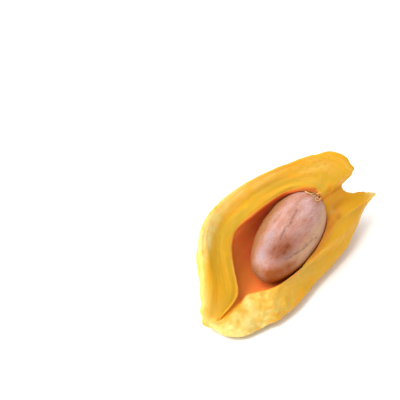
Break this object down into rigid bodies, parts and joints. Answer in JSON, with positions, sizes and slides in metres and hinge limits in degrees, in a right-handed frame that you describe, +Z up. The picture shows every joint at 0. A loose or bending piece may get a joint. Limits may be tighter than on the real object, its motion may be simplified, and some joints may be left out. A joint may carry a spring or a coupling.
{
  "type": "opened jackfruit bulb with its seed",
  "caption": "Thick fleshy fruit pod, slit lengthwise and lying open, with its large oval seed in the pocket.",
  "frame": {"origin": "middle of the flat spot under the belly that the bulb lies on", "axes": "+X from the closed near tip to the torn far end, +Y towards the taller left flap, +Z up"},
  "size_m": [0.0703, 0.0319, 0.0278],
  "materials": {
    "flesh": "moist, slightly translucent ripe fruit flesh, golden yellow on the skin and cut faces, deep orange in the pocket",
    "seed": "smooth pinkish brown seed coat under a thin damp membrane"
  },
  "bodies": {
    "root": {"flesh": "flesh", "seed": "seed"}
  },
  "joints": []
}
